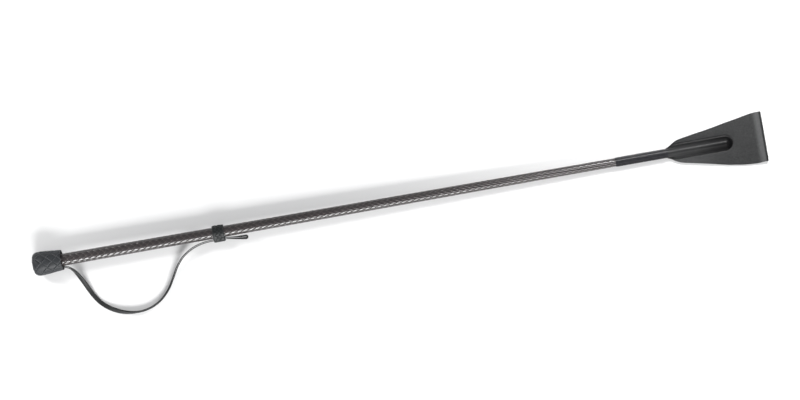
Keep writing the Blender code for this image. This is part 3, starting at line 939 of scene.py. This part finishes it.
def slider_ring():
    """A ring woven from one narrow strip that runs round five times and turns back at each edge."""
    line, out, girth = ring_outline()
    start, end = span("slider_ring")
    middle, half = (start + end) / 2, (end - start) / 2
    count = len(line)
    steps = RING_STEPS
    lap = np.arange(steps) / steps
    phase = 2 * pi * RING_BIGHTS * lap
    swing = half - RING_STRIP_WIDTH / 2 - 0.05 * MM
    shift = swing * np.arcsin(RING_TURN * np.cos(phase)) / asin(RING_TURN)
    round_it = RING_LEADS * girth * lap
    slope = np.gradient(shift, round_it)
    flat_run = np.stack([np.ones(steps), slope], 1) / np.hypot(1, slope)[:, None]
    within = (phase / pi) % 1.0 * RING_LEADS
    levels = np.array([0.0] + [1.0 if k % 2 else -1.0 for k in range(1, RING_LEADS)] + [0.0])
    low = np.clip(within.astype(int), 0, RING_LEADS - 1)
    ease = (1 - np.cos(pi * (within - low))) / 2
    height = levels[low] * (1 - ease) + levels[low + 1] * ease
    drop = RING_WAVE + RING_STRIP / 2
    rows = []
    for across, rise in STRIP_SHAPE:
        side = across * RING_STRIP_WIDTH / 2
        place = (round_it - flat_run[:, 1] * side) / girth * count
        axial = shift + flat_run[:, 0] * side
        edge = np.clip((np.abs(axial) - (half - RING_ROLL)) / RING_ROLL, 0, 1)
        lift = height * RING_WAVE + rise * RING_STRIP / 2 - drop - RING_DROP * edge**2
        flat = [round_ring(line[:, k], place) + round_ring(out[:, k], place) * lift for k in (0, 1)]
        rows.append(BUTT + np.outer(middle + axial, ALONG) + np.outer(flat[0], SIDE) + np.outer(flat[1], UP))
    rows = np.array(rows).transpose(1, 0, 2)
    rows = np.concatenate([rows, rows[:1]])
    columns = len(STRIP_SHAPE)
    faces = net_faces(len(rows), columns, True)
    faces = [tuple(i % (steps * columns) for i in face) for face in faces]
    wear_and_painted_highlight = np.tile(STRIP_WEAR, (steps, 1))
    obj = mesh_piece("slider_weave", rows[:-1], faces, SLIDER_LEATHER, wear_and_painted_highlight)
    face_out(obj)
    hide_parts("slider_ring")
    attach(obj, "slider")
    slider_lining(line, out, middle, half)


def slider_lining(line, out, middle, half):
    """The plain band of leather under the weave."""
    depth = 2 * RING_WAVE + RING_STRIP * 0.8
    reach = half - 0.6 * MM
    rows = []
    for across, inner in [(-1, 1), (-1, 0), (1, 0), (1, 1)]:
        flat = line[::3] - out[::3] * (depth + inner * RING_LINING)
        centre = BUTT + ALONG * (middle + across * reach)
        rows.append(centre + np.outer(flat[:, 0], SIDE) + np.outer(flat[:, 1], UP))
    count, columns = len(rows[0]), len(rows)
    rows = np.array(rows).transpose(1, 0, 2)
    faces = net_faces(count + 1, columns, True)
    faces = [tuple(i % (count * columns) for i in face) for face in faces]
    obj = mesh_piece("slider_lining", rows, faces, LINING_LEATHER)
    face_out(obj)
    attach(obj, "slider")


def keeper_whipping():
    """The turns of waxed thread, close together, with a few that ride up on the ones before."""
    start, end = span("keeper_binding")
    end += BINDING_PAST
    outer = max(r for _, r in outer_profile("keeper_binding"))
    turns = int((end - start - 2 * THREAD_RADIUS) / THREAD_PITCH)
    angle = np.arange((turns + 2) * THREAD_SIDES + 1) * 2 * pi / THREAD_SIDES
    share = np.clip((angle / (2 * pi) - 1) / turns, 0, 1)
    station = start + THREAD_RADIUS + share * (end - start - 2 * THREAD_RADIUS)
    random = np.random.default_rng(7)
    by_turn = random.uniform(-0.07, 0.05, turns + 3) * MM
    uneven = np.interp(angle / (2 * pi), np.arange(turns + 3), by_turn)
    uneven = uneven + 0.05 * MM * wander(angle * 0.37, 5) + 0.04 * MM * wander(angle * 1.13, 6)
    risen = np.clip((station - start) / BINDING_EASE, 0, 1)
    radius = outer - THREAD_RISE - THREAD_MARGIN + uneven - BINDING_DIP * (1 - risen)
    rows = []
    for i in range(THREAD_CORNERS):
        turn = 2 * pi * i / THREAD_CORNERS
        rows.append(on_shaft(station + THREAD_RADIUS * cos(turn), angle, radius + THREAD_RISE * sin(turn)))
    rows = np.array(rows).transpose(1, 0, 2)
    painted_highlight_and_wear_mask = np.repeat(smooth(-0.05, 0.35, np.sin(angle)), THREAD_CORNERS)
    faces = tube_faces(len(rows), THREAD_CORNERS)
    obj = mesh_piece("keeper_whipping", rows, faces, BINDING_THREAD, painted_highlight_and_wear_mask)
    face_out(obj)
    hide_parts("keeper_binding")
    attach(obj, "root")


# The keeper

NECK_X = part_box("keeper_flap")[1].x - KEEPER_LENGTH
SEAM_LOW, SEAM_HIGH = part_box("keeper_seam_front")
SEAM_WIDE = (SEAM_HIGH.y - SEAM_LOW.y) / 2 - CAD_THREAD
SEAM_END = SEAM_HIGH.x - CAD_THREAD - NECK_X
SEAM_STRAIGHT = SEAM_END - SEAM_WIDE  # run where the seam's round end starts

# The row of stitches on one side, from the neck to where it runs straight: run and distance from the middle.
SEAM_SIDE = [(3.4 * MM, 5.1 * MM), (5.3 * MM, 5.8 * MM), (7.8 * MM, 6.5 * MM), (11.8 * MM, SEAM_WIDE)]
SEAM_RUNS, SEAM_SIDES = zip(*SEAM_SIDE)

BEND = (LAYER_GAP + FOLD_RISE) / 2  # radius of the fold's inner face
BEND_AT = KEEPER_LENGTH - LEATHER - BEND  # run where the fold starts

# Where a thing starts, is full, fades and is gone: as runs, and from the free end for the painted highlight
# band.
BELLY_RUNS = (2 * MM, 50 * MM, 60 * MM, BEND_AT)
MISFIT_RUNS = (20 * MM, 55 * MM, BEND_AT - 12 * MM, BEND_AT)
SWELL_RUNS = (SEAM_END, SEAM_END + 6 * MM, BEND_AT - FOLD_EASE, BEND_AT)
PAINTED_HIGHLIGHT_BAND = (1.7 * MM, 2.7 * MM, 4.4 * MM, 9.2 * MM)


def keeper_edge():
    """The keeper's half-width at rising runs, which only grows, before its free end's corners."""
    points = np.concatenate([node_points("keeper_front"), node_points("keeper_flap")])
    kept = [(-3 * MM, 4.2 * MM)]
    for run, side in widest(points[:, 0] - NECK_X, np.abs(points[:, 1]), 0.25 * MM):
        if side > kept[-1][1] and run < KEEPER_LENGTH - 3 * MM:
            kept.append((run, side))
    return np.array(kept).T


EDGE_RUNS, EDGE_SIDES = keeper_edge()


def half_width(run):
    """The keeper's half-width: eased over the corners of its outline, and round at the free end's."""
    eased = np.interp(run + np.linspace(-1.5, 1.5, 7) * MM, EDGE_RUNS, EDGE_SIDES).mean()
    past = max(run - (KEEPER_LENGTH - KEEPER_CORNER), 0.0) / KEEPER_CORNER
    return eased - KEEPER_CORNER * (1 - sqrt(max(1 - past * past, 0.0)))


def station_at(run):
    return (NECK_X + run - BUTT[0]) / ALONG[0]


def rod_radius(run):
    """The rod's radius, from its even taper."""
    straight = [p for p in outer_profile("core_rod") if p[1] > ROD_LEAST]
    (s0, r0), (s1, r1) = straight[1], straight[-1]
    return r0 + (station_at(run) - s0) * (r1 - r0) / (s1 - s0)


ROD_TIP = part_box("core_rod")[1].x - NECK_X
ROD_NEAR = float(rod_radius(ROD_TIP / 2))


def ridge(run, side):
    """How far the upper leather's underside rises over the rod, above the flat: a smooth swell from stitches
    to stitches that clears the rod."""
    radius = ROD_NEAR + LAYER_GAP
    height = BUTT[2] + station_at(run) * ALONG[2] - (LEATHER + LAYER_GAP)
    side = np.hypot(side, max(run - SEAM_STRAIGHT, 0.0))
    share = np.clip(side / (np.interp(run, SEAM_RUNS, SEAM_SIDES) - RIDGE_MARGIN), 0, 1)
    swell = (height + radius) * np.cos(pi / 2 * share) ** (1.5 + share**2)
    arch = height + np.sqrt(np.maximum(radius**2 - side**2, 0)) - 4 * np.maximum(side - radius, 0)
    return (swell + arch + np.hypot(swell - arch, RIDGE_EASE)) / 2


def outside_seam(run, side):
    """How far a point of the keeper lies outside the row of stitches, less than 0 inside it."""
    if run < SEAM_STRAIGHT:
        return np.abs(side) - np.interp(run, SEAM_RUNS, SEAM_SIDES)
    return np.hypot(run - SEAM_STRAIGHT, side) - SEAM_WIDE


def seam_distance(run, side):
    return np.abs(outside_seam(run, side)) + max(SEAM_RUNS[0] - run, 0.0)


def keeper_sides(run, out, top, shares):
    """Places across the keeper, closest together where the ridge and the seam are."""
    edge = half_width(run + LEATHER * out)
    near = min(8 * MM, 0.85 * edge)
    side = np.sign(shares) * np.interp(np.abs(shares), (0, 0.62, 1), (0, near, edge))
    side = side - KEEPER_BELLY * hump(run, *BELLY_RUNS) * shares**4
    if not top:
        side = side - LAYER_MISFIT * hump(run, *MISFIT_RUNS) * np.clip(-shares, 0, 1) ** 4
    return side


def keeper_painted_highlight(run, side):
    """Painted highlight: the upper layer is painted pale in a band before its dark fold, where the fold's
    bulge would catch the light, and painted sheen makes it pale towards one edge near the neck.
    """
    band = 0.62 * hump(KEEPER_LENGTH - run, *PAINTED_HIGHLIGHT_BAND)
    return band + 0.26 * smooth(55 * MM, 15 * MM, run) * smooth(-12 * MM, 6 * MM, -side)


def keeper_channel_and_painted_shade(run, side):
    """The upper layer is dark and smooth inside the seam, and nearly so round the fold, where the dark is
    painted shade.
    """
    inside = np.clip(0.5 - outside_seam(run, side) / (0.8 * MM), 0, 1)
    return np.maximum(inside, 0.9 * smooth(2.4 * MM, 1.4 * MM, KEEPER_LENGTH - run))


def thicken(obj, grooves):
    """Gives the keeper's one face the leather's thickness, less of it in the groove along the seam, and
    rounds its edges."""
    groove = obj.vertex_groups.new(name="seam")
    for index, depth in enumerate(grooves):
        if depth > 0.01:
            groove.add([index], float(depth), "REPLACE")
    thick = obj.modifiers.new("leather", "SOLIDIFY")
    thick.thickness = LEATHER
    thick.offset = -1.0
    thick.use_even_offset = True
    thick.vertex_group = "seam"
    thick.invert_vertex_group = True
    thick.thickness_vertex_group = 1 - SEAM_GROOVE / LEATHER
    round_edge = obj.modifiers.new("edge", "BEVEL")
    round_edge.width = LEATHER_EDGE
    round_edge.segments = 2
    round_edge.limit_method = "ANGLE"
    round_edge.angle_limit = radians(50)
    shown = obj.evaluated_get(bpy.context.evaluated_depsgraph_get())
    final = bpy.data.meshes.new_from_object(shown)
    final.shade_smooth()
    obj.modifiers.clear()
    obj.data = final
    obj.vertex_groups.clear()


def keeper():
    """One piece of leather: the upper layer from the neck to the free end, the fold, and the lower layer
    back to the neck. The layers' inner faces are made first and thickened outwards."""
    low = LEATHER
    high = LEATHER + LAYER_GAP
    upper = np.concatenate([np.linspace(KEEPER_START, 60 * MM, 150), np.linspace(60.7 * MM, BEND_AT, 36)])
    rise = FOLD_RISE * np.clip((upper - (BEND_AT - FOLD_EASE)) / FOLD_EASE, 0, 1) ** 1.6
    turns = np.radians(np.arange(18, 180, 18))
    lower = np.linspace(BEND_AT, KEEPER_START, 70)
    runs = np.concatenate([upper, BEND_AT + BEND * np.sin(turns), lower])
    heights = np.concatenate([high + rise, low + BEND + BEND * np.cos(turns), np.full(len(lower), low)])
    outwards = np.concatenate([0 * upper, np.sin(turns), 0 * lower])
    is_upper = np.arange(len(runs)) < len(upper)
    shares = np.linspace(-1, 1, KEEPER_COLUMNS)
    rows = []
    grooves, wear_and_painted_highlight, channel_and_painted_fold_shade = [], [], []
    for run, height, out, top in zip(runs, heights, outwards, is_upper):
        side = keeper_sides(run, out, top, shares)
        grooves.append(np.exp(-((seam_distance(run, side) / GROOVE_WIDTH) ** 2)) * (run > 0))
        # Painted highlight and painted sheen on the upper layer; the channel mask also paints shade round
        # the fold.
        wear_and_painted_highlight.append(keeper_painted_highlight(run, side) * top)
        channel_and_painted_fold_shade.append(keeper_channel_and_painted_shade(run, side) * top)
        z = np.full(len(side), height)
        if top:
            swell = LEATHER_SWELL * np.sin(run / (9 * MM) + 1) * np.cos(side / (7 * MM))
            z = z + ridge(run, side) + swell * hump(run, *SWELL_RUNS)
        rows.append(np.stack([NECK_X + run + 0 * side, side, z], 1))
    obj = mesh_piece("keeper_leather", rows, net_faces(len(rows), KEEPER_COLUMNS), KEEPER_LEATHER, wear_and_painted_highlight)
    store(obj.data, "channel_and_painted_fold_shade", channel_and_painted_fold_shade)
    thicken(obj, np.concatenate(grooves))
    hinge = Vector(JOINTS["flap_bend"]["pos_m"])
    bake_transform(obj)
    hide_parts("keeper_front", "keeper_back", "keeper_flap")


def seam_line():
    """Evenly spaced points down the row of stitches, with the way along it at each."""
    corners = [*SEAM_SIDE, (SEAM_STRAIGHT * 0.6, SEAM_WIDE), (SEAM_STRAIGHT, SEAM_WIDE)]
    side = catmull_rom([(*corner, 0.0) for corner in corners], 0.5 * MM)[:, :2]
    turn = np.radians(np.arange(6, 180, 6))
    bend = np.stack([SEAM_STRAIGHT + SEAM_WIDE * np.sin(turn), SEAM_WIDE * np.cos(turn)], 1)
    line = np.concatenate([side, bend, (side * (1, -1))[::-1]])
    reach = reach_along(line)
    count = round(reach[-1] / SEAM_PITCH)
    even = (np.arange(count) + 0.5) * reach[-1] / count
    at = on_line(even, reach, line)
    way = on_line(even + 0.2 * MM, reach, line) - at
    return at, way / np.linalg.norm(way, axis=1)[:, None]


def stitches(name, node_name, surface, up):
    """Each stitch is a short length of thread that comes out of one hole and goes down the next."""
    at, ways = seam_line()
    verts, faces = [], []
    for place, way in zip(at, ways):
        rise = ridge(place[0], place[1]) if up > 0 else 0.0
        middle = np.array((NECK_X + place[0], place[1], surface + rise))
        slant = np.array((-way[1], way[0], 0.0)) * STITCH_SLANT
        run = np.array((way[0], way[1], 0.0)) + slant
        out = np.array((0.0, 0.0, up))
        side = np.cross(run, out)
        first = len(verts)
        for share, lift in STITCH_LINE:
            centre = middle + run * share * SEAM_PITCH + out * lift * STITCH_RISE
            for i in range(THREAD_CORNERS):
                turn = 2 * pi * i / THREAD_CORNERS
                verts.append(centre + (side * cos(turn) + out * sin(turn)) * SEAM_THREAD)
        faces += tube_faces(len(STITCH_LINE), THREAD_CORNERS, first)
    obj = mesh_piece(name, verts, faces, SEAM_THREAD_LOOK)
    face_out(obj)
    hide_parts(node_name)
    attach(obj, "root")


make_camera()
wrist_lace()
make_stage()
shaft_plait()
knob()
slider_ring()
keeper_whipping()
keeper()
stitches("keeper_stitches_front", "keeper_seam_front", STITCH_TOP, 1.0)
stitches("keeper_stitches_back", "keeper_seam_back", STITCH_BOTTOM, -1.0)
NODES["core_rod"].material_slots[0].material = resin("black_glass_fibre")
NODES["knob_core"].material_slots[0].material = wood("beech")

[[list(corner) for corner in box] for box in (CAD_BOX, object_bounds())]
